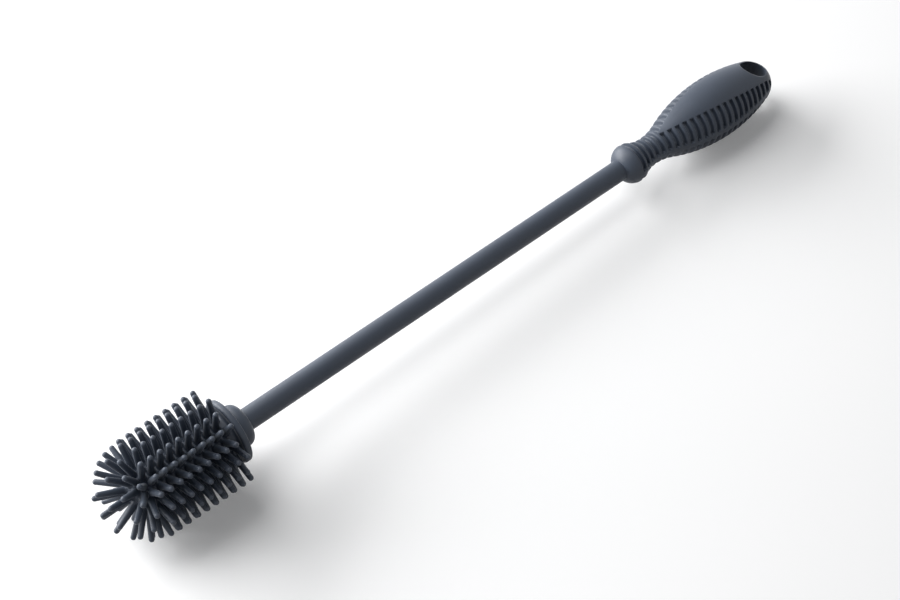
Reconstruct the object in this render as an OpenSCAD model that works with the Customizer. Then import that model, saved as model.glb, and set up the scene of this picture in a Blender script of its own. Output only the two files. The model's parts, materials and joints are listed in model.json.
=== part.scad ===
// Long-handled silicone bottle brush, lying on its side as it rests on a worktop.
// Millimetres. +X runs along the brush from the nose of the head to the butt of the grip, +Z is up.
// The origin is on the worktop, under the middle of the brush.

/* [Brush head] */
// Diameter over the bristle tips
head_d = 45.3; // [38:0.1:56]
// Diameter of the hub that carries the bristles
hub_d = 19.4; // [17:0.1:24]
// Rows of bristles around the hub (an even number, so that the stagger closes)
rows = 18; // [12:2:20]
// Bristles in each row
rings = 9; // [6:1:11]
// Spacing of the bristles along a row
ring_pitch = 4.6; // [4:0.1:5.6]
// Shift of every second row towards the nose
stagger = 2; // [0:0.1:2.3]
// Diameter of a bristle where it leaves the hub
bristle_root_d = 3; // [2.6:0.1:3.6]
// Diameter of a bristle at its round tip
bristle_tip_d = 2.3; // [1.8:0.1:2.6]
// Thickness of the silicone around the head core
hub_wall = 3.1; // [2.5:0.1:4]

/* [Flange and collar] */
// Diameter of the flange behind the bristles
flange_d = 29.6; // [26:0.1:36]
// Thickness of the flange at its rim
flange_t = 3; // [2.4:0.1:4]
// Distance from the last ring of bristles to the flange
flange_gap = 3; // [2.6:0.1:5]
// Diameter of the collar behind the flange
collar_d = 19.4; // [17:0.1:23]
// Length of the collar
collar_len = 6.6; // [5:0.1:9]
// Straight part of the collar before its dome
collar_land = 1.6; // [1:0.1:3]

/* [Shaft] */
// Diameter of the silicone sleeve on the shaft
shaft_d = 10; // [8.4:0.1:12]
// Length of shaft that shows between the collar and the grip
shaft_len = 215.4; // [150:0.2:280]
// Diameter of the steel rod inside
rod_d = 6; // [5:0.1:7]

/* [Grip] */
// Diameter of the bulb at the front of the grip
bulb_d = 19.2; // [18:0.1:24]
// Diameter of the neck behind the bulb
neck_d = 13.8; // [12.4:0.1:16]
// Largest diameter of the grip
belly_d = 29.7; // [26:0.1:36]
// Diameter of the round butt
butt_d = 22; // [20:0.1:25]
// Radius of the bulb's outline
bulb_round = 7.3; // [6.4:0.1:9]
// Distance from the bulb to the neck
bulb_to_neck = 11.4; // [10.5:0.1:15]
// Distance from the neck to the widest part
neck_to_belly = 42.5; // [36:0.1:52]
// Distance from the widest part to the centre of the round butt
belly_to_butt = 24.1; // [20:0.1:30]
// Thickness of the silicone around the grip core
grip_wall = 2.5; // [2.1:0.1:3.2]

/* [Grooves] */
// Number of grooves along the grip
grooves = 24; // [12:1:24]
// Spacing of the grooves
groove_pitch = 3.6; // [3:0.05:3.6]
// Width of a groove at the surface
groove_w = 1.8; // [1.2:0.1:2.2]
// Depth of a groove
groove_depth = 1.2; // [0.6:0.1:1.5]
// Distance from the bulb's widest part to the first groove
groove_start = 0.8; // [0:0.1:3]
// Height of the smooth rail along each side
rail_h = 2.8; // [1.6:0.1:5]
// Width of the smooth leaf-shaped panel on the top and the underside
panel_w = 19.2; // [12:0.1:24]
// Distance from the neck to the pointed end of the panel
panel_start = 5.5; // [2:0.1:12]
// Distance from the widest part of the grip to the widest part of the panel
panel_shift = 10.3; // [0:0.1:16]

/* [Hang hole] */
// Diameter of the hang hole
hang_d = 12.6; // [9:0.1:14]
// Silicone between the hang hole and the end of the butt
hang_rim = 2.4; // [2:0.1:6]

/* [Fits] */
// Gap all round between a core and the silicone that is moulded on it
mould_gap = 0.05; // [0.02:0.01:0.2]
// Gap at the end of a blind bore
end_gap = 0.3; // [0.1:0.1:1]

/* [Hidden] */

silicone = [0.23, 0.25, 0.29];
nylon = [0.82, 0.82, 0.78];
steel = [0.72, 0.73, 0.75];

turn_fn = 96;
head_fn = 24;
bristle_fn = 6;
bore_fn = 96;
arc_steps = 6;
nose_steps = 8;
rim_steps = 3;
leaf_steps = 8;
front_steps = 12;
back_steps = 18;
core_steps = 16;
cut_past = 1;

// ---- stations along the brush, with the bristle ring next to the flange at 0 ----
hub_r = hub_d / 2;
core_r = hub_r - hub_wall;
bristle_bury = 0.5;
bristle_slice = 0.1;
bore_r = (core_r + mould_gap) / cos(180 / head_fn);
head_r = head_d / 2;
tip_r = bristle_tip_d / 2;
nose_x = -(rings - 1) * ring_pitch;
flange_x = flange_gap;
flange_back_x = flange_x + flange_t;
flange_r = flange_d / 2;
rim_round = 0.45 * flange_t;
collar_r = collar_d / 2;
collar_end_x = flange_back_x + collar_len;
shaft_r = shaft_d / 2;
rod_r = rod_d / 2;

// the grip's outline is five arcs that meet smoothly
bulb_r = bulb_d / 2;
neck_r = neck_d / 2;
belly_r = belly_d / 2;
butt_r = butt_d / 2;
entry_dx = sqrt(pow(bulb_round, 2) - pow(shaft_r - bulb_r + bulb_round, 2));
grip_x = collar_end_x + shaft_len;
bulb_x = grip_x + entry_dx;
neck_x = bulb_x + bulb_to_neck;
belly_x = neck_x + neck_to_belly;
butt_x = belly_x + belly_to_butt;
end_x = butt_x + butt_r;
belly_arc = (pow(belly_to_butt, 2) + pow(belly_r, 2) - pow(butt_r, 2)) / (2 * (belly_r - butt_r));
front_arc = blend_radius(bulb_to_neck, bulb_round, bulb_r);
back_arc = blend_radius(neck_to_belly, belly_arc, belly_r);
bulb_join_x = bulb_x + bulb_to_neck * bulb_round / (bulb_round + front_arc);
belly_join_x = neck_x + neck_to_belly * back_arc / (back_arc + belly_arc);
butt_join_x = butt_x + belly_to_butt * butt_r / (belly_arc - butt_r);

hang_r = hang_d / 2;
hang_x = end_x - hang_rim - hang_r;

// where the hidden cores start and stop
core_nose_solid = 12;
sleeve_in_grip = 2;
core_butt_solid = 14;
head_core_end_x = flange_back_x + collar_land;
rod_start_x = nose_x + core_nose_solid;
sleeve_end_x = bulb_x + sleeve_in_grip;
grip_core_end_x = hang_x - hang_r - grip_wall;
rod_end_x = grip_core_end_x - core_butt_solid;

// the nose: rings of bristles that fan out from the end of the hub, by their angle from the axis
row_step = 360 / rows;
nose_step = 22.5;
nose_first = 70;
nose_first_staggered = 62.5;
nose_third_count = 6;

// ---- resting pose: the head rests on its lowest bristles and the grip on its belly ----
low_tip_z = (head_r - tip_r) * cos(row_step / 2);
rest_dx = belly_x;
rest_dz = low_tip_z + belly_arc - belly_r;
rest_tilt = atan2(rest_dz, rest_dx) - asin((belly_arc - tip_r) / norm([rest_dx, rest_dz]));
rest_lift = low_tip_z * cos(rest_tilt) + tip_r;
reach_nose = (nose_x - head_r + tip_r) * cos(rest_tilt) - tip_r;
reach_butt = butt_x * cos(rest_tilt) + butt_r;
rest_shift = -(reach_nose + reach_butt) / 2;

// radius of the hollow arc that joins the neck to a round swelling, smooth at both ends
function blend_radius(dx, round_r, top_r) =
    let (drop = round_r - top_r + neck_r)
    (dx * dx + drop * drop - round_r * round_r) / (2 * (top_r - neck_r));

// outer radius of the grip at any station
function grip_r(x) =
    x < bulb_join_x ? bulb_r - bulb_round + sqrt(pow(bulb_round, 2) - pow(x - bulb_x, 2)) :
    x < neck_x ? neck_r + front_arc - sqrt(pow(front_arc, 2) - pow(x - neck_x, 2)) :
    x < belly_join_x ? neck_r + back_arc - sqrt(pow(back_arc, 2) - pow(x - neck_x, 2)) :
    x < butt_join_x ? belly_r - belly_arc + sqrt(pow(belly_arc, 2) - pow(x - belly_x, 2)) :
    sqrt(max(0, pow(butt_r, 2) - pow(x - butt_x, 2)));

// points [radius, x] of an arc around [centre_r, centre_x]; angle 0 points away from the axis
function arc(centre_r, centre_x, r, from, to, steps = arc_steps) =
    [for (i = [0 : steps])
        let (a = from + (to - from) * i / steps)
        [centre_r + r * cos(a), centre_x + r * sin(a)]];

function outline(from_x, to_x, steps, inset = 0) =
    [for (i = [0 : steps])
        let (x = from_x + (to_x - from_x) * i / steps)
        [grip_r(x) - inset, x]];

function reversed(list) = [for (i = [len(list) - 1 : -1 : 0]) list[i]];

// turns a list of [radius, x] points around the brush axis
module turned(points, sides = turn_fn) {
    rotate([0, 90, 0])
        rotate_extrude($fn = sides)
            polygon(points);
}

module as_it_lies() {
    translate([rest_shift, 0, rest_lift])
        rotate([0, rest_tilt, 0])
            children();
}

// ---- brush head ----
// a plain six-sided peg with a bevelled tip: no other piece is seated on a bristle
module bristle() {
    hull() {
        translate([0, 0, hub_r - bristle_bury])
            cylinder(h = bristle_slice, d = bristle_root_d, $fn = bristle_fn);
        translate([0, 0, head_r - tip_r])
            cylinder(h = tip_r / 2, r = tip_r, $fn = bristle_fn);
        translate([0, 0, head_r - bristle_slice])
            cylinder(h = bristle_slice, r = tip_r / 2, $fn = bristle_fn);
    }
}

// one bristle at a station and an angle around the axis; lean 90 is straight out, 0 is along the nose
module bristle_at(x, around, lean = 90) {
    translate([x, 0, 0])
        rotate([around, 0, 0])
            rotate([0, lean - 90, 0])
                bristle();
}

module nose_ring(lean, count, first) {
    for (i = [0 : count - 1])
        bristle_at(nose_x, first + 360 / count * i, lean);
}

module bristles() {
    for (row = [0 : rows - 1])
        for (ring = [0 : rings - 1])
            bristle_at(-ring * ring_pitch - (row % 2) * stagger, (row - 0.5) * row_step);
    nose_ring(nose_first, rows / 2, -row_step / 2);
    nose_ring(nose_first_staggered, rows / 2, row_step / 2);
    nose_ring(nose_first - nose_step, rows / 2, -row_step / 2);
    nose_ring(nose_first - 2 * nose_step, nose_third_count, 1.5 * row_step);
    nose_ring(0, 1, 0);
}

// outline of a round bar with a round nose, from the axis at the nose back to a station
function nosed_bar(r, back_x) = concat(arc(0, nose_x, r, -90, 0, nose_steps), [[r, back_x], [0, back_x]]);

module brush_head() {
    rim_x = flange_x + rim_round;
    back_rim_x = flange_back_x - rim_round;
    half_facet = 180 / head_fn;
    color(silicone)
        as_it_lies()
            difference() {
                union() {
                    rotate([half_facet, 0, 0])
                        turned(nosed_bar(hub_r, flange_back_x), head_fn);
                    bristles();
                    rotate([half_facet, 0, 0])
                        turned(concat(
                            [[0, flange_x]],
                            arc(flange_r - rim_round, rim_x, rim_round, -90, 0, rim_steps),
                            arc(flange_r - rim_round, back_rim_x, rim_round, 0, 90, rim_steps),
                            [[0, flange_back_x]]
                        ), head_fn);
                }
                rotate([half_facet, 0, 0])
                    turned(nosed_bar(bore_r, flange_back_x + cut_past), head_fn);
            }
}

// ---- what the head is built on ----
module head_core() {
    rod_bore_len = head_core_end_x - rod_start_x + end_gap + cut_past;
    color(nylon)
        as_it_lies()
            difference() {
                turned(nosed_bar(core_r, head_core_end_x));
                translate([rod_start_x - end_gap, 0, 0])
                    rotate([0, 90, 0])
                        cylinder(h = rod_bore_len, r = rod_r + mould_gap, $fn = bore_fn);
            }
}

module rear_collar() {
    dome_len = collar_len - collar_land;
    dome_fullness = 1;
    end_land = 0.6;
    color(silicone)
        as_it_lies()
            turned(concat(
                [
                    [core_r + mould_gap, flange_back_x],
                    [collar_r, flange_back_x],
                    [collar_r, flange_back_x + collar_land]
                ],
                [for (a = [15 : 15 : 60])
                    [
                        shaft_r + (collar_r - shaft_r) * cos(a) + dome_fullness * sin(a),
                        flange_back_x + collar_land + dome_len * sin(a)
                    ]
                ],
                [
                    [shaft_r + mould_gap + end_land, collar_end_x],
                    [shaft_r + mould_gap, collar_end_x],
                    [shaft_r + mould_gap, head_core_end_x],
                    [core_r + mould_gap, head_core_end_x]
                ]
            ));
}

// ---- shaft ----
module core_rod() {
    bevel = 0.5;
    color(steel)
        as_it_lies()
            turned([
                [0, rod_start_x],
                [rod_r - bevel, rod_start_x],
                [rod_r, rod_start_x + bevel],
                [rod_r, rod_end_x - bevel],
                [rod_r - bevel, rod_end_x],
                [0, rod_end_x]
            ]);
}

module shaft_sleeve() {
    color(silicone)
        as_it_lies()
            turned([
                [rod_r + mould_gap, head_core_end_x],
                [shaft_r, head_core_end_x],
                [shaft_r, sleeve_end_x],
                [rod_r + mould_gap, sleeve_end_x]
            ]);
}

// ---- grip ----
module grip_blank() {
    mouth = 0.15;
    after_neck = 2;
    after_join = 8;
    turned(concat(
        [[shaft_r + mould_gap, grip_x]],
        outline(grip_x + mouth, neck_x, front_steps),
        outline(neck_x + after_neck, butt_join_x, back_steps),
        arc(0, butt_x, butt_r, asin((butt_join_x - butt_x) / butt_r) + after_join, 90),
        reversed(grip_core_points(mould_gap)),
        [[shaft_r + mould_gap, sleeve_end_x]]
    ));
}

// outline of the hidden core, from the end of the sleeve to just short of the hang hole
function grip_core_points(gap) = concat(
    outline(sleeve_end_x, grip_core_end_x, core_steps, grip_wall - gap),
    [[0, grip_core_end_x + gap]]
);

// leaf-shaped in plan: two shallow arcs that meet in a point behind the neck
module leaf_panel() {
    centre_x = belly_x + panel_shift;
    half_len = centre_x - neck_x - panel_start;
    edge_r = (pow(half_len, 2) + pow(panel_w / 2, 2)) / panel_w;
    half_angle = asin(half_len / edge_r);
    side = [for (i = [-leaf_steps : leaf_steps])
        let (a = half_angle * i / leaf_steps)
        [centre_x + edge_r * sin(a), edge_r * cos(a) - edge_r + panel_w / 2]];
    translate([0, 0, -belly_d])
        linear_extrude(height = 2 * belly_d)
            polygon(concat(side, [for (p = reversed(side)) [p[0], -p[1]]]));
}

module groove_ring(x) {
    floor_w = groove_w * 0.6;
    top_w = groove_w * 1.5;
    r = grip_r(x);
    above = 2;
    turned([
        [r - groove_depth, x - floor_w / 2],
        [r + above, x - top_w / 2],
        [r + above, x + top_w / 2],
        [r - groove_depth, x + floor_w / 2]
    ]);
}

module groove_rings() {
    for (i = [0 : grooves - 1])
        groove_ring(bulb_x + groove_start + i * groove_pitch);
}

module grip() {
    color(silicone)
        as_it_lies()
            difference() {
                grip_blank();
                difference() {
                    groove_rings();
                    leaf_panel();
                    translate([grip_x, -belly_d, -rail_h / 2])
                        cube([end_x - grip_x, 2 * belly_d, rail_h]);
                }
                translate([hang_x, 0, -belly_d])
                    cylinder(h = 2 * belly_d, r = hang_r, $fn = bore_fn);
            }
}

module grip_core() {
    color(nylon)
        as_it_lies()
            turned(concat(
                [[rod_r + mould_gap, sleeve_end_x]],
                grip_core_points(0),
                [[0, rod_end_x + end_gap], [rod_r + mould_gap, rod_end_x + end_gap]]
            ));
}

brush_head();
head_core();
rear_collar();
core_rod();
shaft_sleeve();
grip();
grip_core();
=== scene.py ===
# Visual model of a long-handled silicone bottle brush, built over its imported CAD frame.
# Outlines are in millimetres along the brush, with the bristle ring next to the flange at 0
# and the nose towards -X. Every piece is then laid in the frame, in metres, as the CAD lies.
import json
import math
import random

import bmesh
import bpy
import numpy as np
from mathutils import Matrix, Vector


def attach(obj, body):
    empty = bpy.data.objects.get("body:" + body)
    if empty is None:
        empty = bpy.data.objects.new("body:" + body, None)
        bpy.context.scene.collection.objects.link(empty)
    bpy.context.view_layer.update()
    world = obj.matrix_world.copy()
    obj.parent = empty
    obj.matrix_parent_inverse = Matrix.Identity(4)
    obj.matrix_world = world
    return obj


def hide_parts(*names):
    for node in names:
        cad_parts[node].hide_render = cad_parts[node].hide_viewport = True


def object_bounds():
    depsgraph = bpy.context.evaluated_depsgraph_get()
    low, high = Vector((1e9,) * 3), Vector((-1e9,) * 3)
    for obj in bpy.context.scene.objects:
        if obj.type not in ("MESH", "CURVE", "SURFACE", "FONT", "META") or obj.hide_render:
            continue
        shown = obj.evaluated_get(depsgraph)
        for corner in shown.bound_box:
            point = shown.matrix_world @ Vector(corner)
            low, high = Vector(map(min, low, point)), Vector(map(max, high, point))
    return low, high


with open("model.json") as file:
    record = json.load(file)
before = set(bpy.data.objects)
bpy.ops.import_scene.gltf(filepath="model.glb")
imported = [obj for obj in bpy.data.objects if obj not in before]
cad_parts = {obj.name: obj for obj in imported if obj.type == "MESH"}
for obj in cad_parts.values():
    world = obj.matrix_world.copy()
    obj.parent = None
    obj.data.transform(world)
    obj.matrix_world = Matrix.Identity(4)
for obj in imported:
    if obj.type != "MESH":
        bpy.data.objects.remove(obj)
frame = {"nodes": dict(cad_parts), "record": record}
cad_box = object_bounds()

MM = 0.001

# ---- sizes, in millimetres ----
HEAD_R = 22.65
HUB_R = 9.7
ROWS = 18
RINGS = 9
RING_PITCH = 4.6
STAGGER = 2.0
ROOT_R = 1.5
TIP_R = 1.22
HUB_WALL = 3.1
# rings on the nose: lean from its point, number of bristles and first angle
NOSE_RINGS = ((70, 9, -10), (62.5, 9, 10), (47.5, 9, -10), (25, 6, 30), (0, 1, 0))

FLANGE_X = 3.0
FLANGE_T = 3.0
FLANGE_R = 14.8
COLLAR_R = 9.7
COLLAR_LEN = 6.6
COLLAR_LAND = 1.6

SHAFT_R = 5.0
SHAFT_LEN = 215.4
ROD_R = 3.0

BULB_R = 9.6
NECK_R = 6.9
BELLY_R = 14.85
BUTT_R = 11.0
BULB_ROUND = 7.3
BULB_TO_NECK = 11.4
NECK_TO_BELLY = 42.5
BELLY_TO_BUTT = 24.1
GRIP_WALL = 2.5

GROOVES = 24
GROOVE_PITCH = 3.6
GROOVE_DEPTH = 1.8
GROOVE_START = 0.8
GROOVE_FLOOR = 0.6
GROOVE_EDGE = 1.2
RAIL_HALF = 1.4
PANEL_HALF = 9.6
PANEL_START = 5.5
PANEL_SHIFT = 10.3

HANG_R = 6.3
HANG_RIM = 2.4
HANG_ROUND = 0.9
GAP = 0.05
SLEEVE_PAST_BULB = 2

# ---- how finely the meshes are divided ----
TURN_SIDES = 128
TURN_SHARP = 35
SHAFT_SIDES = 96
SHAFT_STEPS = 60
BRISTLE_SIDES = 20
GRIP_SIDES = 288
GRIP_SHARP = 50
HOLE_SIDES = 160
CORE_STEPS = 24
FINE_STEP = 0.2
PLAIN_STEP = 0.3
# points this close, in metres, are one point
MERGE_DISTANCE = 1e-7

# ---- stations along the brush ----
nose_x = -(RINGS - 1) * RING_PITCH
core_r = HUB_R - HUB_WALL
flange_back_x = FLANGE_X + FLANGE_T
core_end_x = flange_back_x + COLLAR_LAND
collar_end_x = flange_back_x + COLLAR_LEN
grip_x = collar_end_x + SHAFT_LEN
bulb_x = grip_x + math.sqrt(BULB_ROUND**2 - (SHAFT_R - BULB_R + BULB_ROUND) ** 2)
sleeve_end_x = bulb_x + SLEEVE_PAST_BULB
neck_x = bulb_x + BULB_TO_NECK
belly_x = neck_x + NECK_TO_BELLY
butt_x = belly_x + BELLY_TO_BUTT
end_x = butt_x + BUTT_R
hang_x = end_x - HANG_RIM - HANG_R
grip_core_end_x = hang_x - HANG_R - GRIP_WALL


def blend_radius(dx, round_r, top_r):
    """Radius of the hollow arc that joins the neck to a round swelling, smooth at both ends."""
    drop = round_r - top_r + NECK_R
    return (dx * dx + drop * drop - round_r * round_r) / (2 * (top_r - NECK_R))


belly_arc = (BELLY_TO_BUTT**2 + BELLY_R**2 - BUTT_R**2) / (2 * (BELLY_R - BUTT_R))
front_arc = blend_radius(BULB_TO_NECK, BULB_ROUND, BULB_R)
back_arc = blend_radius(NECK_TO_BELLY, belly_arc, BELLY_R)
bulb_join_x = bulb_x + BULB_TO_NECK * BULB_ROUND / (BULB_ROUND + front_arc)
belly_join_x = neck_x + NECK_TO_BELLY * back_arc / (back_arc + belly_arc)
butt_join_x = butt_x + BELLY_TO_BUTT * BUTT_R / (belly_arc - BUTT_R)


def grip_r(x):
    """Radius of the grip at a station, before its grooves."""
    if x < bulb_join_x:
        return BULB_R - BULB_ROUND + math.sqrt(BULB_ROUND**2 - (x - bulb_x) ** 2)
    if x < neck_x:
        return NECK_R + front_arc - math.sqrt(front_arc**2 - (x - neck_x) ** 2)
    if x < belly_join_x:
        return NECK_R + back_arc - math.sqrt(back_arc**2 - (x - neck_x) ** 2)
    if x < butt_join_x:
        return BELLY_R - belly_arc + math.sqrt(belly_arc**2 - (x - belly_x) ** 2)
    return math.sqrt(max(0.0, BUTT_R**2 - (x - butt_x) ** 2))


# ---- the pose that the brush lies in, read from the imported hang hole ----
hang = next(m for m in frame["record"]["mounts"] if m["name"] == "hang_hole")
hang_axis = Vector(hang["axis"])
tilt = math.atan2(hang_axis.x, hang_axis.z)
lie_turn = Matrix.Rotation(tilt, 4, "Y")
hang_point = Vector(hang["pos_m"])
lie = Matrix.Translation(hang_point - lie_turn @ Vector((hang_x * MM, 0, 0))) @ lie_turn


# ---- making meshes ----
def make_piece(name, points, faces, node, material):
    """A smooth mesh from points in millimetres, laid in the frame; doubled points are merged."""
    mesh = bpy.data.meshes.new(name)
    mesh.from_pydata((np.asarray(points) * MM).tolist(), [], faces)
    mesh.transform(lie)
    bm = bmesh.new()
    bm.from_mesh(mesh)
    bmesh.ops.remove_doubles(bm, verts=bm.verts, dist=MERGE_DISTANCE)
    bmesh.ops.recalc_face_normals(bm, faces=bm.faces)
    bm.to_mesh(mesh)
    bm.free()
    piece = bpy.data.objects.new(name, mesh)
    bpy.context.scene.collection.objects.link(piece)
    mesh.materials.append(material)
    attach(piece, "root")
    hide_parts(node)
    return piece


def shade(piece, sharp=None):
    """Smooth shading, with edges over the sharp angle kept crisp."""
    mesh = piece.data
    mesh.polygons.foreach_set("use_smooth", [True] * len(mesh.polygons))
    if sharp is not None:
        mesh.set_sharp_from_angle(angle=math.radians(sharp))
    mesh.update()


def strip_faces(first, rows, sides):
    """Quads between consecutive rings of points."""
    faces = []
    for i in range(rows - 1):
        a = first + i * sides
        b = a + sides
        for j in range(sides):
            k = (j + 1) % sides
            faces.append((a + j, b + j, b + k, a + k))
    return faces


def ring_points(x, radii, sides):
    """One ring around the axis; angle 0 is up and grows towards -Y."""
    a = np.arange(sides) * 2 * math.pi / sides
    r = np.broadcast_to(radii, (sides,))
    return np.stack([np.full(sides, x), -r * np.sin(a), r * np.cos(a)], axis=1)


def arc(centre_r, centre_x, r, start, stop, steps):
    """Points (radius, x) on an arc; angle 0 points away from the axis, 90 towards the butt."""
    out = []
    for i in range(steps + 1):
        a = math.radians(start + (stop - start) * i / steps)
        out.append((centre_r + r * math.cos(a), centre_x + r * math.sin(a)))
    return out


def straight(a, b, steps):
    """Evenly spaced points (radius, x) from a to b, without a itself."""
    out = []
    for i in range(1, steps + 1):
        t = i / steps
        out.append((a[0] + (b[0] - a[0]) * t, a[1] + (b[1] - a[1]) * t))
    return out


def turn_piece(name, outline, sides, node, material):
    """A piece made by turning a closed outline of (radius, x) around the brush axis."""
    loop = list(outline) + [outline[0]]
    points = np.concatenate([ring_points(x, r, sides) for r, x in loop])
    piece = make_piece(name, points, strip_faces(0, len(loop), sides), node, material)
    shade(piece, TURN_SHARP)


# ---- materials ----
SLATE_DEEP = (0.031, 0.042, 0.064, 1)
SLATE_WORN = (0.039, 0.052, 0.077, 1)
SHEEN_TINT = (0.80, 0.83, 0.88, 1)
DUST = (0.16, 0.17, 0.19, 1)
DUST_SCALE = 130
NYLON_DEEP = (0.58, 0.57, 0.50, 1)
NYLON_PALE = (0.66, 0.65, 0.58, 1)
STEEL_DEEP = (0.45, 0.46, 0.48, 1)
STEEL_PALE = (0.56, 0.57, 0.59, 1)


def material(name):
    """A new material with its nodes, its links and its output node."""
    mat = bpy.data.materials.new(name)
    mat.use_nodes = True
    nodes = mat.node_tree.nodes
    nodes.clear()
    out = nodes.new("ShaderNodeOutputMaterial")
    return mat, nodes, mat.node_tree.links, out


def noise(nodes, links, coords, scale, detail, stretch=None):
    """A noise texture over object coordinates, stretched along X where asked."""
    tex = nodes.new("ShaderNodeTexNoise")
    tex.inputs["Scale"].default_value = scale
    tex.inputs["Detail"].default_value = detail
    if stretch:
        mapping = nodes.new("ShaderNodeMapping")
        mapping.inputs["Scale"].default_value = stretch
        links.new(coords.outputs["Object"], mapping.inputs["Vector"])
        links.new(mapping.outputs["Vector"], tex.inputs["Vector"])
    else:
        links.new(coords.outputs["Object"], tex.inputs["Vector"])
    return tex


def spread(nodes, links, source, low, high, start=0.3, stop=0.7):
    """A texture value mapped from start..stop to low..high."""
    node = nodes.new("ShaderNodeMapRange")
    node.inputs["From Min"].default_value = start
    node.inputs["From Max"].default_value = stop
    node.inputs["To Min"].default_value = low
    node.inputs["To Max"].default_value = high
    links.new(source, node.inputs["Value"])
    return node


def mixed(nodes, links, factor, a, b):
    """Two colours mixed by a factor; a may be a socket."""
    node = nodes.new("ShaderNodeMix")
    node.data_type = "RGBA"
    links.new(factor, node.inputs["Factor"])
    for socket, value in ((node.inputs["A"], a), (node.inputs["B"], b)):
        if isinstance(value, tuple):
            socket.default_value = value
        else:
            links.new(value, socket)
    return node.outputs["Result"]


def bumped(nodes, links, height, strength, depth):
    """A normal with a texture's relief; depth is in metres."""
    node = nodes.new("ShaderNodeBump")
    node.inputs["Strength"].default_value = strength
    node.inputs["Distance"].default_value = depth
    links.new(height, node.inputs["Height"])
    return node.outputs["Normal"]


def silicone_material():
    """Dark slate silicone with a satin skin, soft cloudy wear and a few specks of dust."""
    mat, nodes, links, out = material("slate_silicone")
    coords = nodes.new("ShaderNodeTexCoord")
    shader = nodes.new("ShaderNodeBsdfPrincipled")
    cloud = noise(nodes, links, coords, scale=70, detail=3)
    fine = noise(nodes, links, coords, scale=1800, detail=2)
    worn = spread(nodes, links, cloud.outputs["Fac"], low=0, high=1)
    slate = mixed(nodes, links, worn.outputs["Result"], SLATE_DEEP, SLATE_WORN)
    cells = nodes.new("ShaderNodeTexVoronoi")
    cells.inputs["Scale"].default_value = DUST_SCALE
    links.new(coords.outputs["Object"], cells.inputs["Vector"])
    near = spread(nodes, links, cells.outputs["Distance"], low=1, high=0, start=0.012, stop=0.03)
    rare = nodes.new("ShaderNodeSeparateColor")
    links.new(cells.outputs["Color"], rare.inputs["Color"])
    some = spread(nodes, links, rare.outputs["Red"], low=0, high=0.5, start=0.6, stop=0.95)
    speck = nodes.new("ShaderNodeMath")
    speck.operation = "MULTIPLY"
    links.new(near.outputs["Result"], speck.inputs[0])
    links.new(some.outputs["Result"], speck.inputs[1])
    dusty = mixed(nodes, links, speck.outputs["Value"], slate, DUST)
    links.new(dusty, shader.inputs["Base Color"])
    rough = spread(nodes, links, cloud.outputs["Fac"], low=0.46, high=0.56)
    links.new(rough.outputs["Result"], shader.inputs["Roughness"])
    grain = bumped(nodes, links, fine.outputs["Fac"], strength=0.25, depth=0.00006)
    links.new(grain, shader.inputs["Normal"])
    shader.inputs["IOR"].default_value = 1.5
    shader.inputs["Sheen Weight"].default_value = 0.3
    shader.inputs["Sheen Roughness"].default_value = 0.35
    shader.inputs["Sheen Tint"].default_value = SHEEN_TINT
    links.new(shader.outputs["BSDF"], out.inputs["Surface"])
    return mat


def nylon_material():
    """Natural moulded nylon, faintly mottled."""
    mat, nodes, links, out = material("moulded_nylon")
    coords = nodes.new("ShaderNodeTexCoord")
    shader = nodes.new("ShaderNodeBsdfPrincipled")
    cloud = noise(nodes, links, coords, scale=120, detail=4)
    mottle = spread(nodes, links, cloud.outputs["Fac"], low=0, high=1)
    colour = mixed(nodes, links, mottle.outputs["Result"], NYLON_DEEP, NYLON_PALE)
    links.new(colour, shader.inputs["Base Color"])
    rough = spread(nodes, links, cloud.outputs["Fac"], low=0.5, high=0.62)
    links.new(rough.outputs["Result"], shader.inputs["Roughness"])
    dimples = bumped(nodes, links, cloud.outputs["Fac"], strength=0.2, depth=0.0001)
    links.new(dimples, shader.inputs["Normal"])
    links.new(shader.outputs["BSDF"], out.inputs["Surface"])
    return mat


def steel_material():
    """Steel rod with fine drawing lines along it."""
    mat, nodes, links, out = material("drawn_steel")
    coords = nodes.new("ShaderNodeTexCoord")
    shader = nodes.new("ShaderNodeBsdfPrincipled")
    lines = noise(nodes, links, coords, scale=900, detail=3, stretch=(0.03, 1, 1))
    streak = spread(nodes, links, lines.outputs["Fac"], low=0, high=1)
    colour = mixed(nodes, links, streak.outputs["Result"], STEEL_DEEP, STEEL_PALE)
    links.new(colour, shader.inputs["Base Color"])
    rough = spread(nodes, links, lines.outputs["Fac"], low=0.22, high=0.38)
    links.new(rough.outputs["Result"], shader.inputs["Roughness"])
    scratches = bumped(nodes, links, lines.outputs["Fac"], strength=0.3, depth=0.00003)
    links.new(scratches, shader.inputs["Normal"])
    shader.inputs["Metallic"].default_value = 1
    links.new(shader.outputs["BSDF"], out.inputs["Surface"])
    return mat


silicone = silicone_material()
nylon = nylon_material()
steel = steel_material()


# ---- brush head ----
ROOT_BURIED = 1.0
TAPER_STEPS = 5
TIP_STEPS = 6
MOST_SWAY = 0.28
SWAY_SEED = 7
STRAIGHT_OUT = 90


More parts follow.
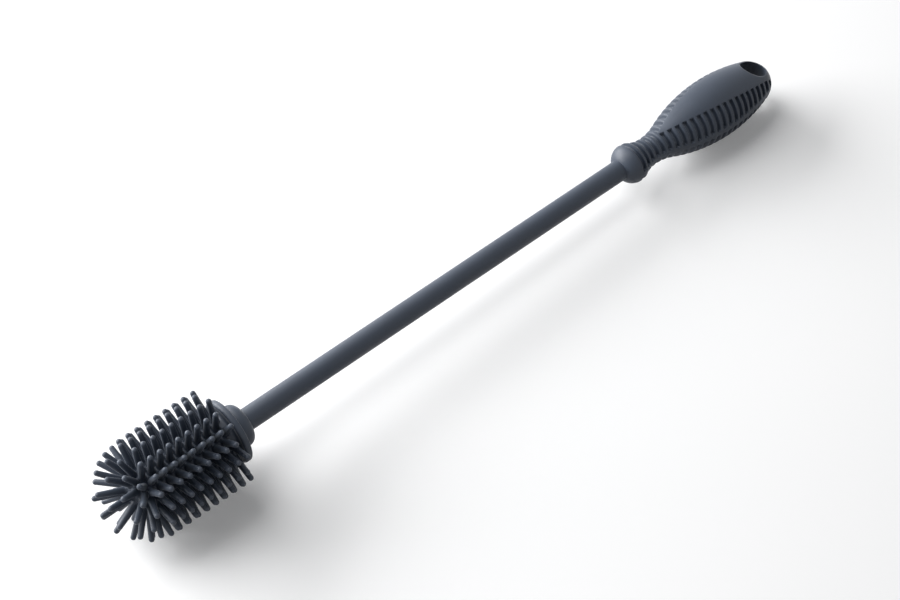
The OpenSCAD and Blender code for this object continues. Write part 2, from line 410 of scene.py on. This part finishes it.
def bristle_outline():
    """(distance from the brush axis, radius) up one bristle: flared root, taper, round tip."""
    # (height above the hub, extra radius) up the flared root
    flare = ((-ROOT_BURIED, 0.95), (-0.25, 0.8), (0.1, 0.42), (0.45, 0.2), (0.9, 0.07), (1.5, 0.0))
    out = [(HUB_R + h, ROOT_R + extra) for h, extra in flare]
    shoulder = HEAD_R - TIP_R
    start, r0 = out[-1]
    for i in range(1, TAPER_STEPS + 1):
        t = i / TAPER_STEPS
        out.append((start + (shoulder - start) * t, r0 + (TIP_R - r0) * t))
    for i in range(1, TIP_STEPS + 1):
        a = math.pi / 2 * i / TIP_STEPS
        out.append((shoulder + TIP_R * math.sin(a), TIP_R * math.cos(a)))
    return out


def bristle_points(x, around, lean, rng):
    """Rings of one bristle: lean 90 stands straight out of the hub, 0 points along the nose."""
    a = math.radians(around)
    b = math.radians(lean)
    along = Vector((-math.cos(b), -math.sin(b) * math.sin(a), math.sin(b) * math.cos(a)))
    side = Vector((0, math.cos(a), math.sin(a)))
    other = along.cross(side)
    foot = Vector((x, 0, 0))
    turn = rng.uniform(0, 2 * math.pi)
    sway = rng.uniform(0, MOST_SWAY)
    bend = side * math.cos(turn) + other * math.sin(turn)
    # the first ring is a single point, which closes the root inside the hub
    points = [tuple(foot + along * (HUB_R - ROOT_BURIED))] * BRISTLE_SIDES
    for height, r in bristle_outline():
        t = max(0.0, (height - HUB_R) / (HEAD_R - HUB_R))
        centre = foot + along * height + bend * (sway * t * t)
        for j in range(BRISTLE_SIDES):
            c = 2 * math.pi * j / BRISTLE_SIDES
            points.append(tuple(centre + (side * math.cos(c) + other * math.sin(c)) * r))
    return points


def make_bristles():
    """Staggered rows of bristles along the hub, and rings of them over its nose."""
    rng = random.Random(SWAY_SEED)
    row_step = 360 / ROWS
    places = []
    for row in range(ROWS):
        for ring in range(RINGS):
            x = -ring * RING_PITCH - (row % 2) * STAGGER
            places.append((x, (row - 0.5) * row_step, STRAIGHT_OUT))
    for lean, count, first in NOSE_RINGS:
        for i in range(count):
            places.append((nose_x, first + 360 / count * i, lean))
    points, faces = [], []
    for x, around, lean in places:
        rings = bristle_points(x, around, lean, rng)
        faces += strip_faces(len(points), len(rings) // BRISTLE_SIDES, BRISTLE_SIDES)
        points += rings
    shade(make_piece("bristles", points, faces, "brush_head", silicone))


def make_hub():
    """Hub with its round nose, and the flange with a dished front and a rounded rim."""
    rim = 1.25
    back_rim = 0.7
    lip = 0.8
    fillet = 1.5
    dish = 0.35
    front = FLANGE_X + dish
    outline = arc(0, nose_x, HUB_R, -90, 0, steps=20)
    outline += straight(outline[-1], (HUB_R, front - fillet), steps=10)
    outline += arc(HUB_R + fillet, front - fillet, fillet, 180, 90, steps=6)[1:]
    outline += straight(outline[-1], (FLANGE_R - rim - lip, front), steps=2)
    outline += arc(FLANGE_R - rim, FLANGE_X + rim, rim, -90, 0, steps=7)
    outline += arc(FLANGE_R - back_rim, flange_back_x - back_rim, back_rim, 0, 90, steps=4)
    outline += [(core_r + GAP, flange_back_x)]
    outline += arc(0, nose_x, core_r + GAP, 0, -90, steps=12)
    turn_piece("hub", outline, TURN_SIDES, "brush_head", silicone)


def make_collar():
    """Stepped collar: a short land, then a dome that the shaft comes out of."""
    dome = COLLAR_LEN - COLLAR_LAND
    fillet = 0.5
    end_land = 0.4
    mouth = 0.1
    shoulder = 1.0
    dome_steps = 12
    dome_angle = math.radians(78)
    outline = [(core_r + GAP, flange_back_x), (COLLAR_R + fillet, flange_back_x)]
    outline += arc(COLLAR_R + fillet, flange_back_x + fillet, fillet, 270, 180, steps=4)[1:]
    outline += straight(outline[-1], (COLLAR_R, core_end_x), steps=2)
    for i in range(1, dome_steps + 1):
        a = dome_angle * i / dome_steps
        r = SHAFT_R + (COLLAR_R - SHAFT_R) * math.cos(a) + shoulder * math.sin(a)
        outline.append((r, core_end_x + dome * math.sin(a)))
    outline += [(SHAFT_R + GAP + end_land, collar_end_x), (SHAFT_R + GAP, collar_end_x - mouth)]
    outline += [(SHAFT_R + GAP, core_end_x), (core_r + GAP, core_end_x)]
    turn_piece("collar", outline, TURN_SIDES, "rear_collar", silicone)


def make_shaft():
    """The silicone tube on the rod, with its ends hidden in the collar and the grip."""
    outline = [(ROD_R + GAP, core_end_x), (SHAFT_R, core_end_x)]
    outline += straight(outline[-1], (SHAFT_R, sleeve_end_x), SHAFT_STEPS)
    outline += [(ROD_R + GAP, sleeve_end_x)]
    turn_piece("shaft", outline, SHAFT_SIDES, "shaft_sleeve", silicone)


# ---- grip ----
def ease(t):
    """0 below 0, 1 above 1, and smooth between them."""
    t = np.clip(t, 0, 1)
    return t * t * (3 - 2 * t)


def groove_depth_at(x):
    """Depth of the groove at a station, before the rails and the panels are left out."""
    along = x - bulb_x - GROOVE_START
    k = min(max(round(along / GROOVE_PITCH), 0), GROOVES - 1)
    off = abs(along - k * GROOVE_PITCH)
    return GROOVE_DEPTH * float(ease(1 - (off - GROOVE_FLOOR) / (GROOVE_EDGE - GROOVE_FLOOR)))


panel_x = belly_x + PANEL_SHIFT
panel_len = panel_x - neck_x - PANEL_START
panel_arc = (panel_len**2 + PANEL_HALF**2) / (2 * PANEL_HALF)


def panel_half(x):
    """Half-width of the leaf-shaped panel at a station; negative before its point."""
    dx = x - panel_x
    return math.sqrt(max(0.0, panel_arc**2 - dx * dx)) - panel_arc + PANEL_HALF


def grip_ring(x):
    """Radii around the grip at a station, with grooves between the side rails and the panels."""
    r = grip_r(x)
    a = np.arange(GRIP_SIDES) * 2 * math.pi / GRIP_SIDES
    across = np.abs(r * np.sin(a))
    height = np.abs(r * np.cos(a))
    soft = 0.4
    outside_panel = ease((across - panel_half(x)) / soft) if panel_half(x) > -soft else 1.0
    off_rail = ease((height - RAIL_HALF) / soft)
    radii = r - groove_depth_at(x) * outside_panel * off_rail
    # the surface rolls over into the hang hole
    d = np.hypot(x - hang_x, radii * np.sin(a)) - HANG_R
    t = np.clip((HANG_ROUND - d) / HANG_ROUND, 0, 1)
    drop = HANG_ROUND * (1 - np.sqrt(1 - t * t))
    fade = np.clip(height / (2 * HANG_ROUND), 0, 1)
    steepest = 0.2
    return radii - drop * fade / np.maximum(np.abs(np.cos(a)), steepest)


def grip_stations():
    """Stations along the grip: close over the grooves, and closer still at both ends."""
    mouth = (0.02, 0.1, 0.25)
    out = [grip_x + step for step in mouth]
    x = grip_x + 2 * mouth[-1]
    first_groove = bulb_x + GROOVE_START - GROOVE_EDGE
    last_groove = bulb_x + GROOVE_START + (GROOVES - 1) * GROOVE_PITCH + GROOVE_EDGE
    pole = 0.2
    pole_steps = 8
    while x < end_x - pole:
        out.append(x)
        x += FINE_STEP if first_groove < x < last_groove else PLAIN_STEP
    for i in range(1, pole_steps + 1):
        out.append(end_x - pole * (1 - i / pole_steps) ** 2)
    return out


def make_grip():
    """The ribbed skin with the hollow that the core fills, joined at the mouth."""
    rings = [ring_points(grip_x, SHAFT_R + GAP, GRIP_SIDES)]
    rings += [ring_points(x, grip_ring(x), GRIP_SIDES) for x in grip_stations()]
    rings += [ring_points(end_x, 0.0, GRIP_SIDES)]
    faces = strip_faces(0, len(rings), GRIP_SIDES)
    first_inner = len(rings) * GRIP_SIDES
    inner = [ring_points(grip_core_end_x + GAP, 0.0, GRIP_SIDES)]
    for i in range(CORE_STEPS, -1, -1):
        x = sleeve_end_x + (grip_core_end_x + GAP - sleeve_end_x) * i / CORE_STEPS
        inner.append(ring_points(x, grip_r(x) - GRIP_WALL + GAP, GRIP_SIDES))
    inner.append(ring_points(sleeve_end_x, SHAFT_R + GAP, GRIP_SIDES))
    inner.append(ring_points(grip_x, SHAFT_R + GAP, GRIP_SIDES))
    faces += strip_faces(first_inner, len(inner), GRIP_SIDES)
    piece = make_piece("grip_skin", np.concatenate(rings + inner), faces, "grip", silicone)
    cut_hang_hole(piece)
    shade(piece, GRIP_SHARP)


def cut_hang_hole(piece):
    """Drills the hang hole straight through the butt."""
    sides = HOLE_SIDES
    reach = 2 * BELLY_R
    mesh = bpy.data.meshes.new("hang_cutter")
    points = []
    for z in (-reach, reach):
        for j in range(sides):
            a = 2 * math.pi * j / sides
            points.append(((hang_x + HANG_R * math.cos(a)) * MM, HANG_R * math.sin(a) * MM, z * MM))
    faces = [(j, (j + 1) % sides, sides + (j + 1) % sides, sides + j) for j in range(sides)]
    faces += [tuple(reversed(range(sides))), tuple(range(sides, 2 * sides))]
    mesh.from_pydata(points, [], faces)
    mesh.transform(lie)
    cutter = bpy.data.objects.new("hang_cutter", mesh)
    bpy.context.scene.collection.objects.link(cutter)
    cut = piece.modifiers.new("hang_hole", "BOOLEAN")
    cut.operation = "DIFFERENCE"
    cut.solver = "EXACT"
    cut.object = cutter
    bpy.context.view_layer.update()
    finished = piece.evaluated_get(bpy.context.evaluated_depsgraph_get())
    result = bpy.data.meshes.new_from_object(finished)
    piece.modifiers.clear()
    piece.data = result
    bpy.data.objects.remove(cutter)


make_bristles()
make_hub()
make_collar()
make_shaft()
make_grip()

for node, mat in (("head_core", nylon), ("grip_core", nylon), ("core_rod", steel)):
    carried = frame["nodes"][node]
    for slot in carried.material_slots:
        slot.material = mat


# ---- stage ----
lo, hi = cad_box
centre = (lo + hi) / 2
length = hi.x - lo.x

FLOOR_HALF = 12 * length
FLOOR_DROP = 0.3 * MM
PAPER = (0.85, 0.85, 0.853, 1)
PAPER_GLOW = 0.18
PAPER_UNSEEN = (0.15, 0.16, 0.18, 1)
WHITE = (1, 1, 1, 1)
ROOM_TINT = (0.92, 0.96, 1, 1)
ROOM_STRENGTH = 0.1

# the camera's place in metres, the way it looks and what it holds upright
CAMERA_PLACE = (-0.3459, -0.4398, 0.6900)
CAMERA_AHEAD = (0.3850, 0.5003, -0.7756)
CAMERA_UP = (0.5272, 0.5705, 0.6297)
CAMERA_LENS = 79.4
CAMERA_SENSOR = 36


def looked_at(nodes, links, path):
    """1 for rays that show a background: from the camera, a mirror or glass."""
    total = path.outputs["Is Camera Ray"]
    for kind in ("Is Glossy Ray", "Is Transmission Ray"):
        either = nodes.new("ShaderNodeMath")
        either.operation = "MAXIMUM"
        links.new(total, either.inputs[0])
        links.new(path.outputs[kind], either.inputs[1])
        total = either.outputs["Value"]
    return total


def make_floor():
    """White paper under the brush, which keeps its shadow and bounces little light back."""
    mesh = bpy.data.meshes.new("floor")
    half = FLOOR_HALF
    z = lo.z - FLOOR_DROP
    corners = [(-half, -half, z), (half, -half, z), (half, half, z), (-half, half, z)]
    mesh.from_pydata(corners, [], [(0, 1, 2, 3)])
    floor = bpy.data.objects.new("floor", mesh)
    bpy.context.scene.collection.objects.link(floor)
    mat, nodes, links, out = material("white_paper")
    path = nodes.new("ShaderNodeLightPath")
    shaded = nodes.new("ShaderNodeBsdfDiffuse")
    shaded.inputs["Color"].default_value = PAPER
    glow = nodes.new("ShaderNodeEmission")
    glow.inputs["Strength"].default_value = PAPER_GLOW
    seen = nodes.new("ShaderNodeAddShader")
    links.new(shaded.outputs["BSDF"], seen.inputs[0])
    links.new(glow.outputs["Emission"], seen.inputs[1])
    unseen = nodes.new("ShaderNodeBsdfDiffuse")
    unseen.inputs["Color"].default_value = PAPER_UNSEEN
    mix = nodes.new("ShaderNodeMixShader")
    links.new(looked_at(nodes, links, path), mix.inputs["Fac"])
    links.new(unseen.outputs["BSDF"], mix.inputs[1])
    links.new(seen.outputs["Shader"], mix.inputs[2])
    links.new(mix.outputs["Shader"], out.inputs["Surface"])
    mesh.materials.append(mat)


def make_world():
    """A white background, and a faint room light on the object."""
    world = bpy.data.worlds.new("studio")
    bpy.context.scene.world = world
    world.use_nodes = True
    nodes = world.node_tree.nodes
    links = world.node_tree.links
    nodes.clear()
    out = nodes.new("ShaderNodeOutputWorld")
    path = nodes.new("ShaderNodeLightPath")
    seen = nodes.new("ShaderNodeBackground")
    seen.inputs["Color"].default_value = WHITE
    seen.inputs["Strength"].default_value = 1.0
    room = nodes.new("ShaderNodeBackground")
    room.inputs["Color"].default_value = ROOM_TINT
    room.inputs["Strength"].default_value = ROOM_STRENGTH
    mix = nodes.new("ShaderNodeMixShader")
    links.new(looked_at(nodes, links, path), mix.inputs["Fac"])
    links.new(room.outputs["Background"], mix.inputs[1])
    links.new(seen.outputs["Background"], mix.inputs[2])
    links.new(mix.outputs["Shader"], out.inputs["Surface"])


def make_light(name, direction, distance, size, power):
    """A rectangular softbox in a direction from the middle of the brush, facing it."""
    data = bpy.data.lights.new(name, "AREA")
    data.shape = "RECTANGLE"
    data.size, data.size_y = size
    data.energy = power
    light = bpy.data.objects.new(name, data)
    bpy.context.scene.collection.objects.link(light)
    away = Vector(direction).normalized()
    light.location = centre + away * distance
    light.rotation_euler = away.to_track_quat("Z", "Y").to_euler()


def make_camera():
    """A long lens that looks down at the brush from beside its nose."""
    data = bpy.data.cameras.new("camera")
    data.sensor_width = CAMERA_SENSOR
    data.lens = CAMERA_LENS
    camera = bpy.data.objects.new("camera", data)
    bpy.context.scene.collection.objects.link(camera)
    ahead = Vector(CAMERA_AHEAD).normalized()
    up = Vector(CAMERA_UP)
    right = ahead.cross(up).normalized()
    up = right.cross(ahead)
    turn = Matrix((right, up, -ahead)).transposed().to_4x4()
    camera.matrix_world = Matrix.Translation(CAMERA_PLACE) @ turn
    bpy.context.scene.camera = camera


make_floor()
make_world()
make_light("back_softbox", direction=(-0.5, 1.0, 0.36), distance=1.3, size=(1.7, 0.8), power=44)
make_light("top_softbox", direction=(-0.25, 0.5, 1.0), distance=1.2, size=(0.8, 0.8), power=8)
make_camera()
bpy.context.scene.view_settings.view_transform = "Standard"

bpy.context.view_layer.update()
